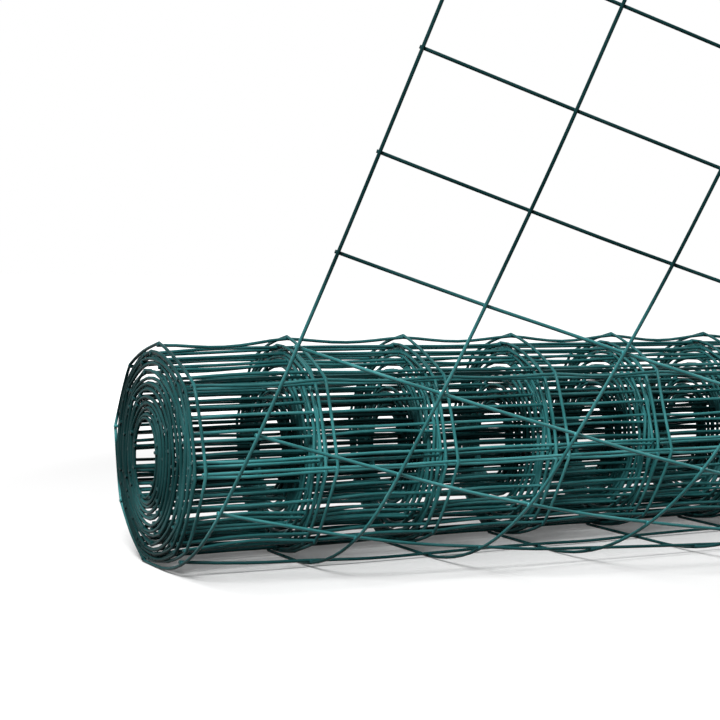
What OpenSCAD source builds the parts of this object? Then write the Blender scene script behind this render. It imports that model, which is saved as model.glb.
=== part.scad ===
// Roll of coated welded wire fencing, lying on its side.
// Its loose end comes down behind the roll, runs out under it along the floor and lifts in front.
// Lengths are in millimetres and angles in degrees.
// X runs along the roll, Y away from the lifted end and Z up, from the middle of the open core.

/* [Piece] */
// Piece to draw

/* [Mesh] */
// Distance between line wires, which run round the roll
line_pitch = 76.2; // [25:0.1:102]
// Distance between cross wires, which run along the roll
row_pitch = 50.8; // [25:0.1:102]
// Number of line wires across the width
line_count = 9; // [4:1:17]
// Thickness of the coated wire
wire_d = 1.8; // [1:0.1:3]
// How far a cross wire presses into a line wire at their weld
weld_sink = 0.4; // [0.1:0.05:0.8]
// How far each wire sticks out past the last weld
stub = 1.5; // [1:0.5:8]

/* [Wound roll] */
// Clear width through the innermost turn
core_d = 24; // [10:1:60]
// Pairs of turns between the core and the outside, each of which shows as one ridge on the roll's ends
pairs = 12; // [3:1:16]
// Distance between pairs behind the core, where they lie close
back_step = 2.55; // [2:0.05:12]
// Distance between pairs in front of the core, where they lie loose
front_step = 5.35; // [2:0.05:12]
// Cross wires up the back of the roll, from the floor to the one on its very top
back_rows = 4; // [3:1:6]

/* [Loose end] */
// Cross wires that lie clear of the roll
loose_rows = 10; // [5:1:16]
// How far in front of the roll's middle the second of them lies
front_row = 34; // [10:1:48]
// How far in front of the roll's middle the sheet leaves the floor at the near end
lift_row = 1; // [0:0.5:20]
// Angle from the roll to the bend line along which it leaves the floor
lift_start = 10; // [6:0.5:20]
// How far beyond the near end all bend lines would meet
fan_reach = 260; // [150:5:600]
// Angle of the sheet, from the first bend line, that curls tightly
curl_fan = 17; // [5:0.5:30]
// How far that curl stays clear of the roll's own curve at the near end
curl_gap = 13; // [5:1:60]
// Half angle of the cone that the rest of the sheet follows
slack_cone = 52; // [30:1:85]

/* [Hidden] */
wire_r = wire_d / 2;
width = (line_count - 1) * line_pitch;
// Distance from a line wire's middle to a cross wire's middle, across the weld
lap = wire_d - weld_sink;
// The innermost pair of turns, and how far the turns have drifted to the front at the outermost
inner_r = core_d / 2 + wire_r + lap;
drift = pairs * (front_step - back_step) / 2;
// Middle of the outermost line wires, middle of the cross wires inside them and the solid below
ring_r = inner_r + pairs * (front_step + back_step) / 2;
cross_r = ring_r - lap;
ring_bite = wire_d / 16;
body_r = ring_r - wire_r + ring_bite;
// Angle of the hairline between one half turn and the next on the roll's ends
hairline = 0.2;
// Angle, from the lowest point up the back and over, at which the outermost turn dips under the roll
ring_end = 330;
// Angle below the front at which the half turn inside it has come in from the roll's edge
give_way = 115;
// The roll rests on the line wires below it
floor_z = -body_r - wire_d;
// Floor place of the rear cross wire, and where the line wires leave the roll to reach it
rear_row = front_row - row_pitch;
rear_z = floor_z + wire_r;
leave = atan2(-rear_row, -rear_z) + acos(ring_r / norm([rear_row, rear_z]));
leave_run = sqrt(pow(rear_row, 2) + pow(rear_z, 2) - pow(ring_r, 2));
// Distance between cross wires on the back of the roll, and the angles that the two distances take
back_pitch = (leave_run + (180 - leave) * PI / 180 * ring_r) / back_rows;
back_angle = back_pitch / ring_r * 180 / PI;
row_angle = row_pitch / ring_r * 180 / PI;
// Angles of the outermost turn's cross wires, up the back of the roll from its lowest point
cross_angles = concat(
    [for (k = [1 : back_rows]) 180 - (back_rows - k) * back_angle],
    [for (a = [180 + row_angle : row_angle : ring_end]) a]
);
// Strips of the loose end, each short enough to lie nearly flat
strips = 5;
// How far behind the roll's middle the bend lines would meet, and half angle of the cone of the tight curl
fan_back = fan_reach * tan(lift_start) - lift_row;
curl_cone = atan((ring_r + wire_r + curl_gap) * cos(lift_start) / fan_reach);

// Bend lines: each frame is [along the line, across it, facing]

// A frame carried round a cone of the given half angle, by an angle measured in the sheet
function carried(f, cone, by) =
    let (
        turn = by / sin(cone),
        axis = cos(cone) * f[0] + sin(cone) * f[2],
        side = sin(cone) * f[0] - cos(cone) * f[2],
        along = cos(cone) * axis + sin(cone) * (cos(turn) * side + sin(turn) * f[1]),
        across = cos(turn) * f[1] - sin(turn) * side
    )
    [along, across, cross(along, across)];

function flat_frame(a) = [[cos(a), sin(a), 0], [-sin(a), cos(a), 0], [0, 0, 1]];

function bend_frame(a) =
    a <= lift_start ? flat_frame(a)
    : a <= lift_start + curl_fan ? carried(flat_frame(lift_start), curl_cone, a - lift_start)
    : carried(
        carried(flat_frame(lift_start), curl_cone, curl_fan),
        slack_cone,
        a - lift_start - curl_fan
    );

// Point of the bent sheet, raised off its outer face.
// x runs along the roll from its near end, and s along the line wires from below the roll's middle.
function sheet_point(x, s, raised) =
    let (
        f = bend_frame(atan2(s + fan_back, x + fan_reach)),
        p = [-fan_reach, -fan_back, 0] + norm([x + fan_reach, s + fan_back]) * f[0] + raised * f[2]
    )
    [p[0] - width / 2, -drift - p[1], p[2] + floor_z];

// Middle of a line wire from the roll to its free end, in steps of half a mesh
function line_path(i) =
    concat(
        [[i * line_pitch - width / 2, ring_r * sin(leave) - drift, -ring_r * cos(leave)]],
        [
            for (j = [0 : 2 * loose_rows - 2])
                sheet_point(i * line_pitch, rear_row + j * row_pitch / 2, wire_r)
        ],
        [sheet_point(i * line_pitch, rear_row + (loose_rows - 1) * row_pitch + stub, wire_r)]
    );

// Middle of a cross wire on the loose end, from weld to weld
function cross_path(k) =
    let (s = rear_row + k * row_pitch)
    concat(
        [sheet_point(-stub, s, wire_r + lap)],
        [for (i = [1 : line_count - 2]) sheet_point(i * line_pitch, s, wire_r + lap)],
        [sheet_point(width + stub, s, wire_r + lap)]
    );

// Direction of a path at one of its points
function heading(path, j) =
    let (d = path[min(j + 1, len(path) - 1)] - path[max(j - 1, 0)])
    d / norm(d);

// Six points round a wire at a point of its path, the first of them on its upper side
function wire_ring(p, d) =
    let (
        u = [0, 0, 1] - d[2] * d,
        v = cross(d, u)
    )
    [for (a = [0 : 60 : 300]) p + wire_r * (cos(a) * u + sin(a) * v) / norm(u)];

// Six-sided wire swept along a path between two of its points
module strand(path, from, to) {
    rings = [for (j = [from : to]) each wire_ring(path[j], heading(path, j))];
    walls = [
        for (j = [0 : to - from - 1], a = [0 : 5])
            let (n = 6 * j, b = (a + 1) % 6)
            each [[n + a, n + a + 6, n + b], [n + b, n + a + 6, n + b + 6]]
    ];
    caps = [[0, 1, 2, 3, 4, 5], [for (a = [5 : -1 : 0]) 6 * (to - from) + a]];
    polyhedron(points = rings, faces = concat(caps, walls));
}

// Round wire bent round the X axis, from the back up and over
module bent_wire(r, by)
    rotate([90, 0, 90])
        rotate_extrude(angle = by, $fn = 96)
            translate([r, 0])
                rotate(45)
                    circle(r = wire_r, $fn = 24);

// Pairs of turns as they show on one end: half a turn over the top and half below, stepping outward.
// The last half below shows only where it lies inside the roll's edge.
module end_turns()
    for (n = [0 : pairs - 1]) {
        front = inner_r + n * front_step;
        back = inner_r + n * back_step;
        start = n == pairs - 1 ? give_way : 0;
        translate([0, (back - front) / 2, 0])
            bent_wire((back + front) / 2, 180 - hairline);
        translate([0, (back - front - front_step) / 2, 0])
            rotate([180 + start, 0, 0])
                bent_wire((back + front + front_step) / 2, 180 - hairline - start);
    }

// Outermost turn of one line wire, from where it leaves the roll up the back, over the top and down the front
module outer_turn()
    rotate([leave - 90, 0, 0])
        bent_wire(ring_r, ring_end - leave);

// The roll's whole section is taken as solid, and the outermost turn of mesh stands out on it
module wound_roll()
    color([0.06, 0.3, 0.26])
        difference() {
            union() {
                translate([0, -drift, 0])
                    rotate([0, 90, 0])
                        cylinder(r = body_r, h = width, center = true, $fn = 96);
                for (i = [0 : line_count - 1])
                    translate([i * line_pitch - width / 2, -drift, 0])
                        outer_turn();
                for (a = cross_angles)
                    translate([0, -drift, 0])
                        rotate([a - 90, 0, 0])
                            translate([0, cross_r, 0])
                                rotate([0, 90, 0])
                                    cylinder(r = wire_r, h = width + 2 * stub, center = true, $fn = 24);
                for (side = [-1, 1])
                    translate([side * width / 2, 0, 0])
                        end_turns();
            }
            rotate([0, 90, 0])
                cylinder(d = core_d, h = 2 * width, center = true, $fn = 64);
        }

// First cross wire of a strip, counted from the rear
function first_row(n) = floor(n * loose_rows / strips);

// One strip of the loose end, which meets the next halfway between two cross wires
module strip(n) {
    from = n == 0 ? 0 : 2 * first_row(n);
    to = 2 * first_row(n + 1);
    for (i = [0 : line_count - 1])
        strand(line_path(i), from, to);
    for (k = [first_row(n) : first_row(n + 1) - 1])
        strand(cross_path(k), 0, line_count - 1);
}

// Down the back of the roll and along the floor below it
module floor_run()
    color([0.05, 0.26, 0.22])
        strip(0);

// Where the sheet leaves the floor
module curl()
    color([0.06, 0.3, 0.26])
        strip(1);

// Lower half of the lifted sheet
module low_rise()
    color([0.06, 0.32, 0.28])
        strip(2);

// Upper half of the lifted sheet
module high_rise()
    color([0.07, 0.34, 0.29])
        strip(3);

// Cut edge of the sheet, with the tips of its line wires
module free_edge()
    color([0.07, 0.36, 0.31])
        strip(4);

wound_roll();
floor_run();
curl();
low_rise();
high_rise();
free_edge();
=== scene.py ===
"""Dresses the roll of welded wire fencing: round coated wires, weld beads, a floor, light and a camera.

The whole mesh is one sheet. A place on it has two flat coordinates, in metres: x along the roll from
its near end, and s along the line wires from below the roll's middle. s grows towards the loose end's
cut edge, and falls up the back of the roll and round its turns to the core.
"""
import bisect
import logging
import math
import random
from dataclasses import dataclass, field
from enum import Enum, auto

import bpy
from mathutils import Matrix, Vector


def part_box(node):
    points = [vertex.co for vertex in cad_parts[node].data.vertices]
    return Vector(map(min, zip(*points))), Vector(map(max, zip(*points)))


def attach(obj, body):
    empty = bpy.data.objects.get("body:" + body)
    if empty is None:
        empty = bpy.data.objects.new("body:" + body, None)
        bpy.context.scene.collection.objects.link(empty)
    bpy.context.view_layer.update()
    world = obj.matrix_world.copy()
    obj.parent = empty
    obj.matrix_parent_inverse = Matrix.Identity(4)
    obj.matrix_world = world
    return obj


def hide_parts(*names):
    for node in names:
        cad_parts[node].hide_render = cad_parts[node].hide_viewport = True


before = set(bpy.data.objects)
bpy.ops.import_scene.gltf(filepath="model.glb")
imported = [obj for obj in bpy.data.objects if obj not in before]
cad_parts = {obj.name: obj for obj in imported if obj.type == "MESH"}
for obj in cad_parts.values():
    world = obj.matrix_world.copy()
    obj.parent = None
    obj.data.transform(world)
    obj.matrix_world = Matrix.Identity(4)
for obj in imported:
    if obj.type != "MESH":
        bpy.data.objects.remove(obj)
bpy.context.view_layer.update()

logging.basicConfig(level=logging.INFO, format="%(message)s")
log = logging.getLogger("fencing_roll")

ROLL_NODE = "wound_roll"
LOOSE_NODES = ("floor_run", "curl", "low_rise", "high_rise", "free_edge")

Colour = tuple[float, float, float, float]
Place = tuple[float, float, float]
BendFrame = tuple[Vector, Vector, Vector]
Tree = bpy.types.NodeTree
Socket = bpy.types.NodeSocket
Value = float | Colour | Place | Socket

# Lighter, bluer coat colours for the weld beads: a painted highlight that stands for the glint on the
# welds.
BEAD_HIGHLIGHT_DEEP: Colour = (0.05, 0.27, 0.3, 1.0)
BEAD_HIGHLIGHT_MAIN: Colour = (0.08, 0.38, 0.42, 1.0)
BEAD_HIGHLIGHT_PALE: Colour = (0.14, 0.5, 0.56, 1.0)
WHITE: Colour = (1.0, 1.0, 1.0, 1.0)

WAVE_SPREAD = (0.5, 1.5)
RIPPLE_PEAK = 1.5
WIRE_BEVEL = 2


class Zone(Enum):
    """Stretch of the sheet, from the core to the cut edge."""

    WOUND = auto()
    LEAVING = auto()
    LOOSE = auto()


class Ease(Enum):
    """How a value changes between two measures."""

    SMOOTH = "SMOOTHSTEP"
    PLAIN = "LINEAR"


@dataclass(frozen=True)
class Ripple:
    """Smooth irregularity over the sheet: a few crossed waves with seeded phases.

    Attributes:
        waves: wave number along u, wave number along v and phase of each wave.
    """

    waves: tuple[tuple[float, float, float], ...]

    @classmethod
    def seeded(cls, seed: int, u_length: float, v_length: float, count: int = 6) -> "Ripple":
        """Draws the waves.

        Args:
            seed: seed of the draw.
            u_length: typical wave length along u.
            v_length: typical wave length along v.
            count: number of waves.

        Returns:
            A ripple that is the same on each run.
        """
        draw = random.Random(seed)
        turn = 2 * math.pi
        return cls(
            tuple(
                (
                    turn / u_length * draw.uniform(*WAVE_SPREAD) * draw.choice((-1, 1)),
                    turn / v_length * draw.uniform(*WAVE_SPREAD),
                    draw.uniform(0, turn),
                )
                for _ in range(count)
            )
        )

    def at(self, u: float, v: float) -> float:
        """Height of the ripple at a place, about -1 to 1."""
        total = sum(math.sin(a * u + b * v + c) for a, b, c in self.waves)
        return total / math.sqrt(len(self.waves)) / RIPPLE_PEAK


@dataclass(frozen=True)
class WeldedMesh:
    """Sizes of the mesh as it is sold, in metres.

    Line wires run round the roll and cross wires along it. At a weld the cross wire sinks a little into
    the line wire, and past the last weld a stub of each wire sticks out.
    """

    line_pitch: float = 0.0762
    row_pitch: float = 0.0508
    line_count: int = 9
    wire_d: float = 0.0018
    weld_sink: float = 0.0004
    stub: float = 0.0014

    @property
    def wire_r(self) -> float:
        """Radius of the coated wire."""
        return self.wire_d / 2

    @property
    def width(self) -> float:
        """Distance between the first and the last line wire."""
        return (self.line_count - 1) * self.line_pitch

    @property
    def lap(self) -> float:
        """Distance between the middles of two wires at their weld."""
        return self.wire_d - self.weld_sink


@dataclass
class Winding:
    """The turns round the core, as one line wire's path in the plane across the roll.

    Turns are counted outward from the front of the core, over the top and down the back. They lie in
    pairs, one turn close to the other, and one pair leads to the next at a crossing. Behind, above and
    below the core the pairs lie in bunches, tighter than even spacing. In front they lie loose, with
    slack before the outermost turn. Play keeps both turns of the innermost pair clear of the core.
    """

    mesh: WeldedMesh
    core_width: float = 0.024
    core_height: float = 0.045
    core_drop: float = 0.005
    core_play: float = 0.0015
    pairs: int = 12
    back_step: float = 0.00255
    front_step: float = 0.00535
    back_bunch: int = 3
    back_tight: float = 0.2
    height_bunch: int = 4
    height_tight: float = 0.88
    front_even: float = 0.7
    front_slack: float = 0.2
    pair_apart: float = 0.0024
    pair_way: float = math.radians(24)
    crossing_place: float = 0.35
    crossing_half: float = 0.05
    crossing_sharp: float = 5.0
    samples_per_turn: int = 120

    @property
    def turns(self) -> int:
        """Number of turns."""
        return 2 * self.pairs

    @property
    def inner_half_width(self) -> float:
        """Middle of the innermost line wires in front of the core."""
        return self.core_width / 2 + self.mesh.wire_r + self.mesh.lap

    @property
    def drift(self) -> float:
        """How far the turns have moved to the front at the outermost."""
        return self.pairs * (self.front_step - self.back_step) / 2

    @property
    def outer_r(self) -> float:
        """Middle of the outermost line wires."""
        return self.inner_half_width + self.pairs * (self.front_step + self.back_step) / 2

    @property
    def lowest(self) -> float:
        """Height of the lowest turns' middles, which rest on the line wires below the roll."""
        return self.mesh.wire_d - self.outer_r

    def pair(self, turn: float) -> float:
        """Finds the pair that a turn belongs to. One pair leads to the next low at the back.

        Args:
            turn: number of turns from the front of the core.

        Returns:
            Number of the pair, with a fraction on the way to the next.
        """
        count = (turn + self.crossing_place) / 2
        nearest = round(count)
        if nearest and abs(count - nearest) < self.crossing_half:
            share = (count - nearest) / (2 * self.crossing_half) + 0.5
            return nearest - 1 + share * share * (3 - 2 * share)
        return float(math.floor(count))

    def aside(self, turn: float) -> Vector:
        """Measures how far a turn lies from the middle of its pair. The outermost turn is alone.

        Args:
            turn: number of turns from the front of the core.

        Returns:
            The way from the middle of the pair.
        """
        side = math.tanh(self.crossing_sharp * math.cos(math.pi * (turn - 0.5 + self.crossing_place)))
        alone = min(max(self.pair(turn) - self.pairs + 1, 0.0), 1.0)
        way = Vector((math.sin(self.pair_way), math.cos(self.pair_way), 0.0))
        return -side * (1 - alone) * self.pair_apart / 2 * way

    @staticmethod
    def bunched(pair: int, size: int, tight: float) -> float:
        """Number of evenly spaced pairs that would reach as far as a pair does in its bunch."""
        bunch, place = divmod(pair, size)
        return size * bunch + tight * place

    def risen(self, pair: int) -> float:
        """The same for the bunches above and below the core."""
        return self.bunched(pair, self.height_bunch, self.height_tight)

    def loosened(self, pair: int) -> float:
        """Spaces the pairs in front of the core.

        Args:
            pair: number of the pair, from the core.

        Returns:
            Share of the front's thickness that it reaches.
        """
        if pair >= self.pairs:
            return 1.0
        share = pair / (self.pairs - 1)
        return (1 - self.front_slack) * (self.front_even * share + (1 - self.front_even) * share**2)

    def edges(self, pair: int) -> Vector:
        """Measures a pair of turns.

        Args:
            pair: number of the pair, from the core.

        Returns:
            Middles of its line wires in front, behind, above and below.
        """
        core_top = self.core_height / 2 - self.core_drop
        core_low = -self.core_height / 2 - self.core_drop
        sunk = self.risen(pair) / self.risen(self.pairs - 1)
        behind = self.bunched(pair, self.back_bunch, self.back_tight)
        inside = self.inner_half_width + self.core_play
        return Vector(
            (
                -inside - (self.pairs * self.front_step - self.core_play) * self.loosened(pair),
                inside + (self.back_step - self.core_play / self.pairs) * behind,
                core_top + (self.outer_r - core_top) * self.risen(pair) / self.pairs,
                -self.outer_r if pair >= self.pairs else core_low + (self.lowest - core_low) * sunk,
            )
        )

    def edges_at(self, turn: float) -> Vector:
        """Measures the pair at a turn, also on the way from one to the next.

        Args:
            turn: number of turns from the front of the core.

        Returns:
            Middles of its line wires in front, behind, above and below.
        """
        pair = self.pair(turn)
        whole = math.floor(pair)
        if pair == whole:
            return self.edges(whole)
        return self.edges(whole).lerp(self.edges(whole + 1), pair - whole)

    def middle(self, turn: float) -> Vector:
        """Middle of the turns at a turn."""
        front, back, top, low = self.edges_at(turn)
        return Vector((0.0, (front + back) / 2, (top + low) / 2))

    def point(self, turn: float) -> Vector:
        """Places the middle of a pair's line wire at a turn.

        Args:
            turn: number of turns from the front of the core.

        Returns:
            The point, with x left at zero.
        """
        front, back, top, low = self.edges_at(turn)
        angle = math.pi * (1 - 2 * turn)
        point = Vector(
            (
                0.0,
                (front + back) / 2 + (back - front) / 2 * math.cos(angle),
                (top + low) / 2 + (top - low) / 2 * math.sin(angle),
            )
        )
        if turn < self.turns:
            point.z = max(point.z, self.lowest)
        return point

    def room(self, turn: float) -> float:
        """Distance from a place on a turn to the next pair of turns inside it."""
        return (self.point(turn) - self.point(max(turn - 2, 0.0))).length

    def unroll(self, last: float) -> tuple[list[float], list[float]]:
        """Measures the wire inward from the place where it leaves the roll.

        Args:
            last: turn at which it leaves.

        Returns:
            Lengths from there, growing, and the turn that each belongs to.
        """
        count = int(last * self.samples_per_turn)
        lengths, turns = [0.0], [last]
        for n in range(1, count + 1):
            turn = last * (1 - n / count)
            lengths.append(lengths[-1] + (self.point(turn) - self.point(turns[-1])).length)
            turns.append(turn)
        return lengths, turns


@dataclass
class LooseEnd:
    """The end of the sheet that runs out under the roll and lifts in front, bent without stretching.

    Its bend lines would all meet in one point beyond the near end. From the line along which it leaves
    the floor it follows the cone of the tight curl, and then the slack cone. The rear cross wire on the
    floor is row 0. front_row is the place of row 1, and lift_row that where the sheet lifts at the near
    end, both in front of the roll's middle.
    """

    mesh: WeldedMesh
    winding: Winding
    floor_z: float
    rows: int = 10
    front_row: float = 0.034
    lift_row: float = 0.001
    lift_start: float = math.radians(10)
    fan_reach: float = 0.26
    curl_fan: float = math.radians(17)
    curl_gap: float = 0.013
    slack_cone: float = math.radians(52)

    @property
    def rear_row(self) -> float:
        """Place of the rear cross wire that lies on the floor."""
        return self.front_row - self.mesh.row_pitch

    @property
    def fan_back(self) -> float:
        """How far behind the roll's middle the bend lines would meet."""
        return self.fan_reach * math.tan(self.lift_start) - self.lift_row

    @property
    def curl_cone(self) -> float:
        """Half angle of the cone of the tight curl."""
        reach = self.winding.outer_r + self.mesh.wire_r + self.curl_gap
        return math.atan(reach * math.cos(self.lift_start) / self.fan_reach)

    @property
    def leave_angle(self) -> float:
        """Angle behind the roll's lowest point at which the line wires leave it."""
        rear_z = self.floor_z + self.mesh.wire_r
        return math.atan2(-self.rear_row, -rear_z) + math.acos(
            self.winding.outer_r / math.hypot(self.rear_row, rear_z)
        )

    @property
    def leave_run(self) -> float:
        """Straight length from there to the rear cross wire."""
        rear_z = self.floor_z + self.mesh.wire_r
        return math.sqrt(self.rear_row**2 + rear_z**2 - self.winding.outer_r**2)

    @staticmethod
    def carried(start: BendFrame, cone: float, by: float) -> BendFrame:
        """Carries a bend line round a cone.

        Args:
            start: along the line, across it and facing.
            cone: half angle of the cone.
            by: angle, measured in the sheet.

        Returns:
            The frame of the new bend line.
        """
        turn = by / math.sin(cone)
        axis = math.cos(cone) * start[0] + math.sin(cone) * start[2]
        side = math.sin(cone) * start[0] - math.cos(cone) * start[2]
        swung = math.cos(turn) * side + math.sin(turn) * start[1]
        along = math.cos(cone) * axis + math.sin(cone) * swung
        across = math.cos(turn) * start[1] - math.sin(turn) * side
        return along, across, along.cross(across)

    @staticmethod
    def flat_frame(angle: float) -> BendFrame:
        """Frame of a bend line that lies on the floor."""
        cos, sin = math.cos(angle), math.sin(angle)
        return Vector((cos, sin, 0.0)), Vector((-sin, cos, 0.0)), Vector((0.0, 0.0, 1.0))

    def bend_frame(self, angle: float) -> BendFrame:
        """Finds a bend line.

        Args:
            angle: angle of the line from the roll.

        Returns:
            Its frame.
        """
        lifted = angle - self.lift_start
        if lifted <= 0:
            return self.flat_frame(angle)
        start = self.flat_frame(self.lift_start)
        if lifted <= self.curl_fan:
            return self.carried(start, self.curl_cone, lifted)
        curled = self.carried(start, self.curl_cone, self.curl_fan)
        return self.carried(curled, self.slack_cone, lifted - self.curl_fan)

    def lifted(self, x: float, s: float) -> float:
        """How far a place is off the floor, from 0 on it to 1 past the curl."""
        angle = math.atan2(s + self.fan_back, x + self.fan_reach) - self.lift_start
        return min(max(angle / self.curl_fan, 0.0), 1.0)

    def place(self, x: float, s: float) -> tuple[Vector, Vector]:
        """Places a point of the loose end.

        Args:
            x: along the roll from its near end.
            s: along the line wires.

        Returns:
            Middle of a line wire there, and the way the sheet's inner face looks.
        """
        along, _, facing = self.bend_frame(math.atan2(s + self.fan_back, x + self.fan_reach))
        apex = Vector((-self.fan_reach, -self.fan_back, 0.0))
        p = apex + math.hypot(x + self.fan_reach, s + self.fan_back) * along
        p += self.mesh.wire_r * facing
        near_end = -self.mesh.width / 2
        return (
            Vector((p.x + near_end, -self.winding.drift - p.y, p.z + self.floor_z)),
            Vector((facing.x, -facing.y, facing.z)),
        )


@dataclass
class RolledSheet:
    """The sheet as it lies: turns, loose end and the small bends that handling leaves in the wires.

    Between welds, line wires run inside the true curve by a share of a full chord's depth. Wires also
    stray towards the core, as far as there is room, and sideways. The lengths are measured inward from
    where the wires leave the roll, and each has its turn.
    """

    mesh: WeldedMesh
    winding: Winding
    loose: LooseEnd
    seed: int = 5
    back_rows: int = 4
    chord_least: float = 0.55
    chord_most: float = 0.95
    chord_vary: float = 0.3
    chord_waves: float = 2.0
    chord_room: float = 0.7
    stray: float = 0.0007
    stray_room: float = 0.2
    sideways: float = 0.0004
    slack_ripple: float = 0.0008
    end_dip: float = 0.0028
    end_play: float = 0.0003
    core_turns: float = 2.2
    out_waves: tuple[float, float] = (0.21, 0.17)
    side_waves: tuple[float, float] = (0.3, 0.4)
    lengths: list[float] = field(init=False)
    turns: list[float] = field(init=False)
    chords: dict[int, float] = field(init=False)
    out_ripple: Ripple = field(init=False)
    side_ripple: Ripple = field(init=False)

    def __post_init__(self) -> None:
        """Measures the winding and draws the irregularities."""
        last = self.winding.turns + (1.5 * math.pi - self.loose.leave_angle) / (2 * math.pi)
        self.lengths, self.turns = self.winding.unroll(last)
        draw = random.Random(self.seed)
        self.chords = {
            row: draw.uniform(self.chord_least, self.chord_most)
            for row in range(self.first_row - 1, self.loose.rows)
        }
        self.out_ripple = Ripple.seeded(self.seed + 1, *self.out_waves)
        self.side_ripple = Ripple.seeded(self.seed + 2, *self.side_waves)

    @property
    def leave(self) -> float:
        """Place along the line wires where they leave the roll."""
        return self.loose.rear_row - self.loose.leave_run

    @property
    def back_pitch(self) -> float:
        """Distance between cross wires on the back of the roll, one of which lies at its very top."""
        arc = (math.pi - self.loose.leave_angle) * self.winding.outer_r
        return (self.loose.leave_run + arc) / self.back_rows

    @property
    def top_place(self) -> float:
        """Place along the line wires of the roll's very top."""
        return self.loose.rear_row - self.back_rows * self.back_pitch

    @property
    def first_row(self) -> int:
        """Number of the innermost cross wire, where the rear one on the floor is 0."""
        wound = self.lengths[-1] - self.mesh.stub - (self.leave - self.top_place)
        return -self.back_rows - int(wound / self.mesh.row_pitch)

    @property
    def rows(self) -> range:
        """Numbers of all cross wires, from the core to the cut edge."""
        return range(self.first_row, self.loose.rows)

    @property
    def core_edge(self) -> float:
        """Place along the line wires of their inner tips."""
        return self.row_place(self.first_row) - self.mesh.stub

    @property
    def cut_edge(self) -> float:
        """Place along the line wires of their outer tips."""
        return self.row_place(self.loose.rows - 1) + self.mesh.stub

    def row_place(self, row: int) -> float:
        """Finds a cross wire.

        Args:
            row: number of the wire.

        Returns:
            Its place along the line wires.
        """
        if row >= 0:
            return self.loose.rear_row + row * self.mesh.row_pitch
        if row >= -self.back_rows:
            return self.loose.rear_row + row * self.back_pitch
        return self.top_place + (row + self.back_rows) * self.mesh.row_pitch

    def bay(self, s: float) -> tuple[int, float]:
        """Finds the two cross wires that a place lies between.

        Args:
            s: along the line wires.

        Returns:
            Number of the one nearer to the core, and the share of the way to the next.
        """
        if s >= self.loose.rear_row:
            number = (s - self.loose.rear_row) / self.mesh.row_pitch
        elif s >= self.top_place:
            number = (s - self.loose.rear_row) / self.back_pitch
        else:
            number = (s - self.top_place) / self.mesh.row_pitch - self.back_rows
        row = math.floor(number)
        return row, number - row

    def line_place(self, line: int) -> float:
        """Place along the roll of a line wire."""
        return line * self.mesh.line_pitch

    def zone(self, s: float) -> Zone:
        """Tells which stretch of the sheet a place belongs to.

        Args:
            s: along the line wires.

        Returns:
            The stretch.
        """
        if s >= self.loose.rear_row:
            return Zone.LOOSE
        return Zone.LEAVING if s > self.leave else Zone.WOUND

    def turn_at(self, s: float) -> float:
        """Finds the turn of a place that lies before the wires leave the roll.

        Args:
            s: along the line wires.

        Returns:
            Number of turns from the front of the core.
        """
        length = min(self.leave - s, self.lengths[-1])
        n = min(max(bisect.bisect_left(self.lengths, length), 1), len(self.lengths) - 1)
        share = (length - self.lengths[n - 1]) / (self.lengths[n] - self.lengths[n - 1])
        return self.turns[n - 1] + (self.turns[n] - self.turns[n - 1]) * share

    def room(self, s: float) -> float:
        """Measures the clear depth towards the core, in which wires may stray.

        Args:
            s: along the line wires.

        Returns:
            The depth, which is 0 on the loose end and next to the core.
        """
        if self.zone(s) is not Zone.WOUND:
            return 0.0
        turn = self.turn_at(s)
        if turn < self.core_turns:
            return 0.0
        return max(self.winding.room(turn) - self.mesh.wire_d, 0.0)

    def chord_depth(self, x: float, s: float) -> float:
        """Measures how far a line wire runs inside the true curve, because it bends most at its welds.

        Args:
            x: along the roll from its near end.
            s: along the line wires.

        Returns:
            The depth.
        """
        row, share = self.bay(s)
        room = self.room(s)
        if not room:
            return 0.0
        radius = (self.winding.point(self.turn_at(s)) - self.winding.middle(self.turn_at(s))).length
        sagitta = self.mesh.row_pitch**2 / (8 * radius)
        vary = 1 + self.chord_vary * self.out_ripple.at(self.chord_waves * x, row)
        depth = min(self.chords.get(row, self.chord_least) * sagitta * vary, self.chord_room * room)
        return 4 * share * (1 - share) * depth

    def place(self, x: float, s: float, raised: float = 0.0) -> Vector:
        """Places a point of the sheet as it lies.

        Args:
            x: along the roll from its near end.
            s: along the line wires.
            raised: distance from the line wires' middles towards the inner face.

        Returns:
            The point in the frame.
        """
        zone = self.zone(s)
        if zone is Zone.LOOSE:
            point, inner = self.loose.place(x, s)
            slack = self.slack_ripple * (1 - x / self.mesh.width)
            stray = self.loose.lifted(x, s) * slack * self.out_ripple.at(x, s)
            return point + (raised + stray) * inner
        if zone is Zone.LEAVING:
            rear, rear_inner = self.loose.place(x, self.loose.rear_row)
            share = (s - self.leave) / self.loose.leave_run
            start, start_inner = self.wound_place(x, self.leave)
            inner = start_inner.lerp(rear_inner, share).normalized()
            return start.lerp(rear, share) + raised * inner
        point, inner = self.wound_place(x, s)
        return point + raised * inner

    def wound_place(self, x: float, s: float) -> tuple[Vector, Vector]:
        """Places a point of the turns.

        Args:
            x: along the roll from its near end.
            s: along the line wires.

        Returns:
            Middle of a line wire there, and the way the sheet's inner face looks.
        """
        turn = self.turn_at(s)
        point = self.winding.point(turn)
        inner = (self.winding.middle(turn) - point).normalized()
        room = self.room(s)
        ease = min((self.leave - s) / self.mesh.row_pitch, 1.0)
        stray = min(self.stray, self.stray_room * room) * (1 + self.out_ripple.at(x, s)) / 2 * ease
        aside = self.winding.aside(turn) * ease
        sideways = aside.x + self.sideways * self.side_ripple.at(x, s) * ease
        point = point + inner * (self.chord_depth(x, s) + stray)
        point.x = self.kept_in(x, sideways) - self.mesh.width / 2
        point.y += aside.y
        sunk = max(1 - x / self.mesh.line_pitch, 0.0) ** 2
        point.z -= self.end_dip * min(sunk, 1.0) * max(point.z / self.winding.outer_r, 0.0)
        return point, inner

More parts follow.
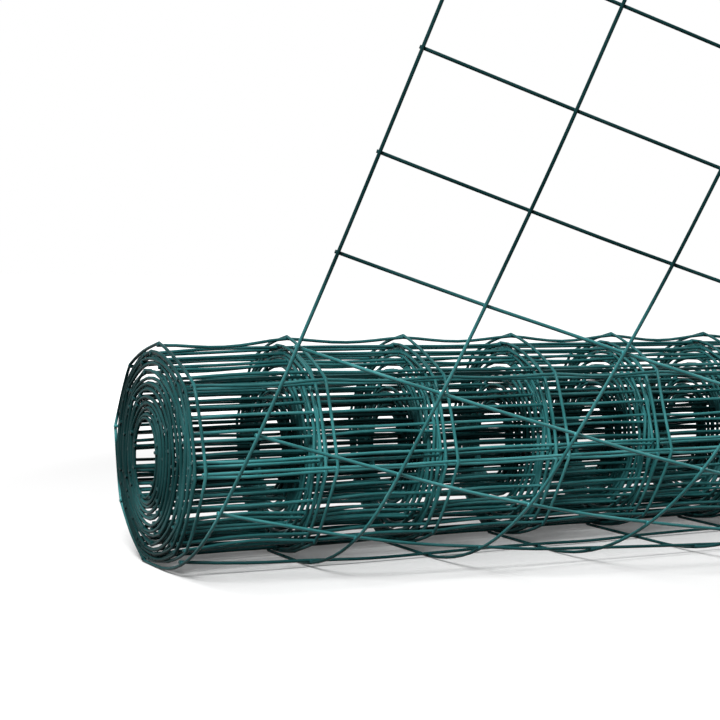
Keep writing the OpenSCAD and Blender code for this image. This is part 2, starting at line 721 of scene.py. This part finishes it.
    def kept_in(self, x: float, sideways: float) -> float:
        """Moves a place sideways, but hardly out of the roll's ends.

        Args:
            x: along the roll from its near end.
            sideways: how far it would move.

        Returns:
            Its new place along the roll.
        """
        tip = self.mesh.stub
        if x <= 0:
            return max(x + max(sideways, -self.end_play), -tip)
        if x >= self.mesh.width:
            return min(x + min(sideways, self.end_play), self.mesh.width + tip)
        return x + sideways

    def axes(self, x: float, s: float) -> Matrix:
        """Finds the axes of the sheet at a place.

        Args:
            x: along the roll from its near end.
            s: along the line wires.

        Returns:
            Across the line wires, along them and out of the inner face.
        """
        step = self.mesh.wire_d
        along = (self.place(x, s + step) - self.place(x, s - step)).normalized()
        facing = (self.place(x, s, step) - self.place(x, s)).normalized()
        across = along.cross(facing).normalized()
        return Matrix((across, along, across.cross(along))).transposed()


def drawn_wires(
    name: str, paths: list[list[Vector]], wire_r: float, coating: bpy.types.Material
) -> bpy.types.Object:
    """Draws round wires along paths, turns them into one mesh and coats it.

    Args:
        name: name of the piece.
        paths: points of each wire, from end to end.
        wire_r: radius of the wires.
        coating: material of the coat.

    Returns:
        The piece, with its place in its mesh.
    """
    bpy.ops.object.select_all(action="DESELECT")
    bpy.ops.curve.primitive_nurbs_path_add()
    wires = bpy.context.object
    wires.name = wires.data.name = name
    curve = wires.data
    curve.splines.clear()
    curve.dimensions = "3D"
    curve.twist_mode = "MINIMUM"
    curve.bevel_depth = wire_r
    curve.bevel_resolution = WIRE_BEVEL
    curve.use_fill_caps = True
    for path in paths:
        spline = curve.splines.new("POLY")
        spline.points.add(len(path) - 1)
        for point, place in zip(spline.points, path):
            point.co = (*place, 1.0)
    bpy.ops.object.convert(target="MESH")
    wires = bpy.context.object
    wires.data.name = name
    bpy.ops.object.shade_smooth()
    wires.data.materials.append(coating)
    return wires


def added(tree: Tree, kind: str, inputs: dict[str | int, Value], **settings: str) -> bpy.types.Node:
    """Adds a shader node.

    Args:
        tree: nodes of the material.
        kind: kind of the node.
        inputs: value of each input, or the output that it is linked to.
        settings: choices of the node, made before its inputs are set.

    Returns:
        The node.
    """
    node = tree.nodes.new("ShaderNode" + kind)
    for name, choice in settings.items():
        setattr(node, name, choice)
    for socket, value in inputs.items():
        if isinstance(value, Socket):
            tree.links.new(value, node.inputs[socket])
        else:
            node.inputs[socket].default_value = value
    return node


def reckoned(tree: Tree, operation: str, first: Value, second: Value) -> Socket:
    """Adds a node that reckons with two values, and gives its result."""
    return added(tree, "Math", {0: first, 1: second}, operation=operation).outputs[0]


def noise(tree: Tree, place: Socket, scale: float, detail: float) -> Socket:
    """Adds a node for uneven patches, and gives their tone, about 0 to 1."""
    inputs = {"Vector": place, "Scale": scale, "Detail": detail}
    return added(tree, "TexNoise", inputs).outputs["Fac"]


@dataclass(frozen=True)
class Fade:
    """Change of a value along a measure, such as a height.

    Attributes:
        start: measure up to which it has its first value.
        end: measure from which it has its second one.
        first: its first value.
        second: its second value.
        ease: how it changes between them.
    """

    start: float
    end: float
    first: float
    second: float
    ease: Ease = Ease.SMOOTH

    def over(self, tree: Tree, measure: Socket) -> Socket:
        """Adds a node for the value.

        Args:
            tree: nodes of the material.
            measure: what the value follows.

        Returns:
            The value.
        """
        inputs = {
            "Value": measure,
            "From Min": self.start,
            "From Max": self.end,
            "To Min": self.first,
            "To Max": self.second,
        }
        return added(tree, "MapRange", inputs, interpolation_type=self.ease.value).outputs["Result"]


@dataclass(frozen=True)
class VinylCoating:
    """Glossy green plastic that coats the wire, a little uneven where it ran and cooled.

    Its colour runs from deep, where the coat lies thick, to pale, where it is stretched thin. Scales
    are waves in a metre, and details tell how often finer ones lie on them. Over that lies painted
    shade: the colour and the reflection are darkened inside the roll, at its back, ends and top, by
    the floor and on the lifted end, and kept full on the outermost turn.

    Attributes:
        roll_middle: place of the roll's axis along Y.
        gloss: roughness over the waves of gloss.
        inside: painted shade, the share of the colour that turns keep by their distance from the axis.
        ends: the same painted shade on the outer sides of the roll's ends, over the distance along X.
        back: painted shade that darkens the inner turns towards the back.
        rim: painted shade that darkens them towards the ends.
        skin: where the outermost turn begins, from the axis; it keeps its full colour.
        top: painted shade that darkens the roll towards its top.
        clear: where the loose end begins, from the axis; the top's painted shade stays off it.
        low: painted shade that darkens the coat by the floor.
        raised: painted shade that darkens the lifted end.
        shine: level of reflection where the colour is full; the painted shade lowers it with the
            colour.
    """

    roll_middle: float
    name: str = "green_vinyl"
    deep: Colour = (0.032, 0.2, 0.205, 1.0)
    main: Colour = (0.054, 0.29, 0.297, 1.0)
    pale: Colour = (0.1, 0.4, 0.41, 1.0)
    deep_at: float = 0.3
    main_at: float = 0.5
    pale_at: float = 0.72
    tone_scale: float = 34.0
    tone_detail: float = 4.0
    gloss_scale: float = 136.0
    gloss_detail: float = 2.0
    gloss: Fade = Fade(0.3, 0.7, 0.16, 0.28, Ease.PLAIN)
    grain_scale: float = 700.0
    grain_detail: float = 1.0
    grain_strength: float = 0.5
    grain_depth: float = 0.00003
    # Painted shade: these fades darken the colour and the reflection where less light reaches the coat;
    # skin keeps it off the outermost turn, and clear keeps the top's painted shade off the loose end.
    inside: Fade = Fade(0.018, 0.043, 0.06, 1.0)
    ends: Fade = Fade(0.3043, 0.3054, 0.06, 0.5)
    back: Fade = Fade(-0.005, 0.03, 1.0, 0.28)
    rim: Fade = Fade(0.298, 0.3035, 1.0, 0.5)
    skin: Fade = Fade(0.0582, 0.0598, 0.0, 1.0)
    top: Fade = Fade(0.0, 0.06, 1.0, 0.42)
    clear: Fade = Fade(0.064, 0.067, 0.0, 1.0)
    low: Fade = Fade(-0.06, -0.025, 0.25, 1.0)
    raised: Fade = Fade(0.06, 0.11, 1.0, 0.15)
    shine: float = 0.12

    def shade(self, tree: Tree, place: Socket) -> Socket:
        """Adds nodes for the painted shade on the coat: dark inside the roll and full on its outer
        turns.

        Args:
            tree: nodes of the material.
            place: Object coordinates.

        Returns:
            A grey of painted shade, to multiply the colour and the level of reflection with.
        """
        from_axis = {0: place, 1: (0.0, 1.0, 1.0), 2: (0.0, -self.roll_middle, 0.0)}
        across = added(tree, "VectorMath", from_axis, operation="MULTIPLY_ADD").outputs["Vector"]
        distance = added(tree, "VectorMath", {0: across}, operation="LENGTH").outputs["Value"]
        x, y, z = added(tree, "SeparateXYZ", {0: place}).outputs
        along = reckoned(tree, "ABSOLUTE", x, 0.0)
        # Painted shade inside the roll, also on the end rings, darker towards the back and the ends;
        # the outermost turn stays full.
        shade = reckoned(tree, "MAXIMUM", self.inside.over(tree, distance), self.ends.over(tree, along))
        for fade, measure in ((self.back, y), (self.rim, along)):
            shade = reckoned(tree, "MULTIPLY", shade, fade.over(tree, measure))
        shade = reckoned(tree, "MAXIMUM", shade, self.skin.over(tree, distance))
        # Painted shade towards the top of the roll (not on the loose end), by the floor and on the
        # lifted end.
        upper = reckoned(tree, "MAXIMUM", self.top.over(tree, z), self.clear.over(tree, distance))
        for share in (upper, self.low.over(tree, z), self.raised.over(tree, z)):
            shade = reckoned(tree, "MULTIPLY", shade, share)
        return shade

    def material(self) -> bpy.types.Material:
        """Builds the material on Object coordinates, with its painted shade.

        Returns:
            The material.
        """
        material = bpy.data.materials.new(self.name)
        material.use_nodes = True
        tree = material.node_tree
        place = tree.nodes.new("ShaderNodeTexCoord").outputs["Object"]
        shade = self.shade(tree, place)

        tone = noise(tree, place, self.tone_scale, self.tone_detail)
        ramp = added(tree, "ValToRGB", {"Fac": tone})
        deep, pale = ramp.color_ramp.elements
        deep.position, deep.color = self.deep_at, self.deep
        pale.position, pale.color = self.pale_at, self.pale
        ramp.color_ramp.elements.new(self.main_at).color = self.main
        # The coat's colour is multiplied by the painted shade.
        colours = {"Factor": 1.0, "A": ramp.outputs["Color"], "B": shade}
        colour_under_painted_shade = added(tree, "Mix", colours, data_type="RGBA", blend_type="MULTIPLY")

        grain = noise(tree, place, self.grain_scale, self.grain_detail)
        skin = {"Strength": self.grain_strength, "Distance": self.grain_depth, "Height": grain}
        gloss = noise(tree, place, self.gloss_scale, self.gloss_detail)
        finish = {
            "Base Color": colour_under_painted_shade.outputs["Result"],
            # The painted shade lowers the reflection too.
            "Specular IOR Level": reckoned(tree, "MULTIPLY", shade, self.shine),
            "Roughness": self.gloss.over(tree, gloss),
            "Normal": added(tree, "Bump", skin).outputs["Normal"],
        }
        for socket, value in finish.items():
            tree.links.new(value, tree.nodes["Principled BSDF"].inputs[socket])
        return material


@dataclass
class LineWires:
    """The wires that run round the roll and out along the loose end."""

    sheet: RolledSheet
    least_points: int = 6
    bend_step: float = math.radians(13)

    def points_between(self, start: float, end: float) -> int:
        """Counts the points for the bay between two cross wires, more where it bends sharply.

        Args:
            start: place of one cross wire along the line wires.
            end: place of the next.

        Returns:
            The number of points.
        """
        sheet = self.sheet
        if sheet.zone(end) is not Zone.WOUND:
            return self.least_points
        bend = 2 * math.pi * (sheet.turn_at(end) - sheet.turn_at(start))
        return max(self.least_points, math.ceil(bend / self.bend_step))

    def path(self, line: int) -> list[Vector]:
        """Traces one line wire from its inner tip to its outer one, with a point at each weld.

        Args:
            line: number of the wire.

        Returns:
            Points of its middle line.
        """
        sheet = self.sheet
        x = sheet.line_place(line)
        places = [sheet.core_edge]
        for row in sheet.rows[:-1]:
            start, end = sheet.row_place(row), sheet.row_place(row + 1)
            count = self.points_between(start, end)
            places += [start + (end - start) * n / count for n in range(count)]
        places += [sheet.row_place(sheet.rows[-1]), sheet.cut_edge]
        return [sheet.place(x, s) for s in places]

    def build(self, coating: bpy.types.Material) -> bpy.types.Object:
        """Draws all line wires and coats them."""
        paths = [self.path(line) for line in range(self.sheet.mesh.line_count)]
        return drawn_wires("line_wires", paths, self.sheet.mesh.wire_r, coating)


@dataclass
class Sag:
    """Height of one cross wire in the middle of a bay, as the eye sees it.

    Attributes:
        rest: height at which it would lie straight.
        low: lowest height that it can take.
        high: highest height that it can take.
        scale: height as seen for each metre that the wire rises.
        seen: height that it takes.
    """

    rest: float
    low: float
    high: float
    scale: float
    seen: float = field(init=False)

    def __post_init__(self) -> None:
        """Starts straight."""
        self.seen = self.rest

    def settle(self, below: float, above: float) -> None:
        """Moves the wire towards the middle of the gap between its neighbours."""
        middle = (self.seen + (below + above) / 2) / 2
        self.seen = min(max(middle, self.low), self.high)

    @property
    def lift(self) -> float:
        """How far the wire rises above its straight line, in metres."""
        return (self.seen - self.rest) / self.scale


@dataclass
class CrossWires:
    """The wires that run along the roll on the inner face of the line wires.

    Between line wires they bow towards the core, and the one on the roll's very top sags. Those of
    neighbouring turns also nest: they settle into each other's gaps, as the eye sees them.
    """

    sheet: RolledSheet
    eye: Vector
    points_per_bay: int = 8
    bow_share: float = 0.4
    bow_most: float = 0.004
    bow_least: float = 0.1
    top_sag: float = 0.0035
    top_least: float = 0.6
    loose_bow: float = 0.0008
    bulge: float = 1.5
    nest_share: float = 0.45
    nest_out: float = 0.0004
    nest_most: float = 0.005
    nest_rounds: int = 40
    level_least: float = 0.05
    seed: int = 21

    def sag(self, row: int, x: float) -> Sag:
        """Measures how one cross wire may rise or drop.

        Args:
            row: number of the wire.
            x: along the roll from its near end.

        Returns:
            Its heights as seen.
        """
        sheet = self.sheet
        s = sheet.row_place(row)
        middle = sheet.place(x, s, sheet.mesh.lap)
        inward = (sheet.place(x, s, 2 * sheet.mesh.lap) - middle).normalized().z
        depth = self.nest_share * sheet.room(s)
        steep = max(abs(inward), self.level_least)
        up, down = (depth, self.nest_out) if inward > 0 else (self.nest_out, depth)
        away = middle - self.eye
        scale = 1 / math.hypot(away.x, away.y)
        rest = away.z * scale
        return Sag(
            rest,
            rest - min(down / steep, self.nest_most) * scale,
            rest + min(up / steep, self.nest_most) * scale,
            scale,
        )

    def lifts(self, bay: int) -> dict[int, float]:
        """Lets the wound cross wires of one bay settle into each other's gaps.

        Args:
            bay: number of the bay between two line wires.

        Returns:
            How far each wire rises in the middle of the bay, by its number.
        """
        x = self.sheet.line_place(bay) + self.sheet.mesh.line_pitch / 2
        sags = {row: self.sag(row, x) for row in self.sheet.rows if row < 0}
        for _ in range(self.nest_rounds):
            stack = sorted(sags.values(), key=lambda sag: sag.seen)
            for below, sag, above in zip(stack, stack[1:], stack[2:]):
                sag.settle(below.seen, above.seen)
        return {row: sag.lift for row, sag in sags.items()}

    def bow(self, row: int, draw: random.Random) -> float:
        """Draws how deep one cross wire bows towards the core in one bay.

        Args:
            row: number of the wire.
            draw: source of the bow.

        Returns:
            The depth.
        """
        if row >= 0:
            return draw.uniform(-1, 1) * self.loose_bow
        if row == -self.sheet.back_rows:
            return draw.uniform(self.top_least, 1) * self.top_sag
        depth = min(self.bow_share * self.sheet.room(self.sheet.row_place(row)), self.bow_most)
        return draw.uniform(self.bow_least, 1) * depth

    def path(self, row: int, lifts: list[float], draw: random.Random) -> list[Vector]:
        """Traces one cross wire from tip to tip, with a point at each weld.

        Args:
            row: number of the wire.
            lifts: how far it rises in the middle of each bay.
            draw: source of its bows.

        Returns:
            Points of its middle line.
        """
        sheet, mesh = self.sheet, self.sheet.mesh
        s = sheet.row_place(row)
        points = [sheet.place(-mesh.stub, s, mesh.lap)]
        for bay, lift in enumerate(lifts):
            bow = self.bow(row, draw)
            for n in range(self.points_per_bay):
                share = n / self.points_per_bay
                swell = math.sin(math.pi * share) ** self.bulge
                x = sheet.line_place(bay) + share * mesh.line_pitch
                rise = Vector((0.0, 0.0, lift * swell))
                points.append(sheet.place(x, s, mesh.lap + bow * swell) + rise)
        points.append(sheet.place(mesh.width, s, mesh.lap))
        points.append(sheet.place(mesh.width + mesh.stub, s, mesh.lap))
        return points

    def build(self, coating: bpy.types.Material) -> bpy.types.Object:
        """Draws all cross wires and coats them.

        Args:
            coating: material of the coat.

        Returns:
            The piece.
        """
        draw = random.Random(self.seed)
        bays = [self.lifts(bay) for bay in range(self.sheet.mesh.line_count - 1)]
        paths = [
            self.path(row, [lifts.get(row, 0.0) for lifts in bays], draw) for row in self.sheet.rows
        ]
        return drawn_wires("cross_wires", paths, self.sheet.mesh.wire_r, coating)


@dataclass
class WeldBeads:
    """The coating that gathers round each weld."""

    sheet: RolledSheet
    length: float = 0.0024
    depth: float = 0.0024
    sides: int = 8
    rings: int = 5

    def bead(self) -> bpy.types.Object:
        """Models one bead at the origin, as a ball of few faces.

        Returns:
            The bead.
        """
        bpy.ops.object.select_all(action="DESELECT")
        bpy.ops.mesh.primitive_uv_sphere_add(segments=self.sides, ring_count=self.rings, radius=0.5)
        bead = bpy.context.object
        bead.name = bead.data.name = "weld_beads"
        bpy.ops.object.mode_set(mode="EDIT")
        bpy.ops.mesh.select_all(action="SELECT")
        bpy.ops.transform.resize(value=(self.length, self.length, self.depth))
        bpy.ops.object.mode_set(mode="OBJECT")
        bpy.ops.object.shade_smooth()
        return bead

    def build(self, coating: bpy.types.Material) -> bpy.types.Object:
        """Sets a bead on each weld, joins them and coats them.

        Args:
            coating: material of the coat.

        Returns:
            The piece.
        """
        sheet = self.sheet
        first = self.bead()
        beads = []
        for row in sheet.rows:
            for line in range(sheet.mesh.line_count):
                x, s = sheet.line_place(line), sheet.row_place(row)
                copy = first.copy()
                copy.data = first.data.copy()
                bpy.context.collection.objects.link(copy)
                middle = sheet.place(x, s, sheet.mesh.lap / 2)
                copy.data.transform(Matrix.Translation(middle) @ sheet.axes(x, s).to_4x4())
                beads.append(copy)
        bpy.data.objects.remove(first)
        bpy.ops.object.select_all(action="DESELECT")
        for copy in beads:
            copy.select_set(True)
        bpy.context.view_layer.objects.active = beads[0]
        bpy.ops.object.join()
        joined = bpy.context.object
        joined.name = joined.data.name = "weld_beads"
        joined.data.materials.append(coating)
        return joined


@dataclass
class Studio:
    """Pale floor, white surroundings, two soft lamps and the camera of the photograph.

    The camera's place is measured from the roll's near end, on the floor below the roll's axis. It
    looks to the right of Y by its yaw and down by its pitch, tilted to the left.
    """

    floor_z: float
    near_end: float
    roll_middle: float
    floor_side: float = 14.0
    floor_colour: Colour = (0.85, 0.85, 0.85, 1.0)
    floor_bounce: Colour = (0.06, 0.06, 0.06, 1.0)
    floor_lift: Fade = Fade(0.4, 0.8, 0.1, 1.0)
    sky_strength: float = 0.02
    key_power: float = 28.0
    key_side: float = 1.6
    key_place: Place = (-0.9, 0.6, 2.0)
    fill_power: float = 58.0
    fill_side: float = 0.8
    fill_place: Place = (-1.3, -1.3, 1.8)
    focal_pixels: float = 1632.0
    image_pixels: float = 720.0
    sensor_mm: float = 36.0
    camera_place: Place = (-0.3434, -0.8033, 0.1744)
    yaw: float = math.radians(30.18)
    pitch: float = math.radians(3.96)
    tilt: float = math.radians(1.32)

    @property
    def eye(self) -> Vector:
        """Place of the camera in the frame."""
        return Vector((self.near_end, self.roll_middle, self.floor_z)) + Vector(self.camera_place)

    def floor(self) -> bpy.types.Object:
        """Lays the floor, which looks white and keeps the roll's shadow.

        Returns:
            The floor.
        """
        bpy.ops.object.select_all(action="DESELECT")
        bpy.ops.mesh.primitive_plane_add(size=self.floor_side, location=(0, 0, self.floor_z))
        floor = bpy.context.object
        floor.name = floor.data.name = "floor"
        bpy.ops.object.transform_apply(location=True)
        material = bpy.data.materials.new("pale_floor")
        material.use_nodes = True
        tree = material.node_tree
        tree.nodes.clear()
        seen = self.seen(tree)
        colours = {"Factor": seen, "A": self.floor_bounce, "B": self.floor_colour}
        shade = added(tree, "Mix", colours, data_type="RGBA").outputs["Result"]
        matte = added(tree, "BsdfDiffuse", {"Color": shade}).outputs[0]
        place = tree.nodes.new("ShaderNodeTexCoord").outputs["Object"]
        distance = added(tree, "VectorMath", {0: place}, operation="LENGTH").outputs["Value"]
        lift = reckoned(tree, "MULTIPLY", seen, self.floor_lift.over(tree, distance))
        glow = added(tree, "Emission", {"Strength": lift}).outputs[0]
        both = added(tree, "AddShader", {0: matte, 1: glow}).outputs[0]
        added(tree, "OutputMaterial", {"Surface": both})
        floor.data.materials.append(material)
        return floor

    @staticmethod
    def seen(tree: Tree) -> Socket:
        """Tells what the camera sees, straight, mirrored or through glass.

        Args:
            tree: nodes of the material or the world.

        Returns:
            1 for what it sees, and 0 for the light that falls on other things.
        """
        path = tree.nodes.new("ShaderNodeLightPath").outputs
        total = path["Is Camera Ray"]
        for name in ("Is Glossy Ray", "Is Transmission Ray"):
            total = reckoned(tree, "MAXIMUM", total, path[name])
        return total

    def sky(self) -> None:
        """Sets a world that is white to look at and lights plainly."""
        world = bpy.data.worlds.new("white_surroundings")
        bpy.context.scene.world = world
        world.use_nodes = True
        tree = world.node_tree
        background = tree.nodes["Background"]
        background.inputs["Color"].default_value = WHITE
        strength = Fade(0.0, 1.0, self.sky_strength, 1.0, Ease.PLAIN).over(tree, self.seen(tree))
        tree.links.new(strength, background.inputs["Strength"])

    def lamp(self, name: str, place: Place, side: float, power: float) -> None:
        """Hangs a square soft lamp that looks at the roll.

        Args:
            name: name of the lamp.
            place: where it hangs.
            side: side of its square.
            power: its power in watts.
        """
        bpy.ops.object.select_all(action="DESELECT")
        aim = Vector((0.0, self.roll_middle, 0.0)) - Vector(place)
        turned = aim.to_track_quat("-Z", "Y").to_euler()
        bpy.ops.object.light_add(type="AREA", location=place, rotation=turned)
        lamp = bpy.context.object
        lamp.name = lamp.data.name = name
        lamp.data.shape = "SQUARE"
        lamp.data.size = side
        lamp.data.energy = power

    def camera(self) -> None:
        """Sets the camera where the photograph was taken."""
        bpy.ops.object.select_all(action="DESELECT")
        bpy.ops.object.camera_add()
        camera = bpy.context.object
        camera.name = camera.data.name = "photo_camera"
        camera.data.sensor_width = self.sensor_mm
        camera.data.lens = self.focal_pixels * self.sensor_mm / self.image_pixels
        level = math.cos(self.pitch)
        look = Vector((math.sin(self.yaw) * level, math.cos(self.yaw) * level, -math.sin(self.pitch)))
        right = Vector((math.cos(self.yaw), -math.sin(self.yaw), 0.0))
        up = right.cross(look)
        tilted_right = right * math.cos(self.tilt) + up * math.sin(self.tilt)
        tilted_up = up * math.cos(self.tilt) - right * math.sin(self.tilt)
        turned = Matrix((tilted_right, tilted_up, -look)).transposed().to_4x4()
        camera.matrix_world = Matrix.Translation(self.eye) @ turned
        bpy.context.scene.camera = camera

    def build(self) -> bpy.types.Object:
        """Sets up everything round the roll.

        Returns:
            The floor.
        """
        self.sky()
        self.lamp("key_softbox", self.key_place, self.key_side, self.key_power)
        self.lamp("fill_softbox", self.fill_place, self.fill_side, self.fill_power)
        self.camera()
        bpy.context.scene.view_settings.view_transform = "Standard"
        return self.floor()


def main() -> None:
    """Builds the wires, their welds and the studio, and logs the rows, the faces and the floor's
    height.
    """
    mesh = WeldedMesh()
    winding = Winding(mesh)
    floor_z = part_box("floor_run")[0][2]
    loose = LooseEnd(mesh, winding, floor_z)
    sheet = RolledSheet(mesh, winding, loose)
    log.info("sheet: rows %d to %d", sheet.first_row, loose.rows - 1)

    roll_middle = -winding.drift
    studio = Studio(floor_z, -mesh.width / 2, roll_middle)
    coat = VinylCoating(roll_middle).material()
    # The weld beads get a lighter, bluer coat: a painted highlight on the welds.
    bead_highlight_coat = VinylCoating(roll_middle, "bead_vinyl_painted_highlight", BEAD_HIGHLIGHT_DEEP, BEAD_HIGHLIGHT_MAIN, BEAD_HIGHLIGHT_PALE).material()
    builders = (
        (LineWires(sheet), coat),
        (CrossWires(sheet, studio.eye), coat),
        (WeldBeads(sheet), bead_highlight_coat),
    )
    for builder, coating in builders:
        piece = builder.build(coating)
        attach(piece, "root")
        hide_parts(ROLL_NODE, *LOOSE_NODES)
        log.info("%s: %d faces", piece.name, len(piece.data.polygons))

    floor = studio.build()
    log.info("studio: floor at %.4f", floor_z)

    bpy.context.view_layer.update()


if __name__ == "__main__":
    main()
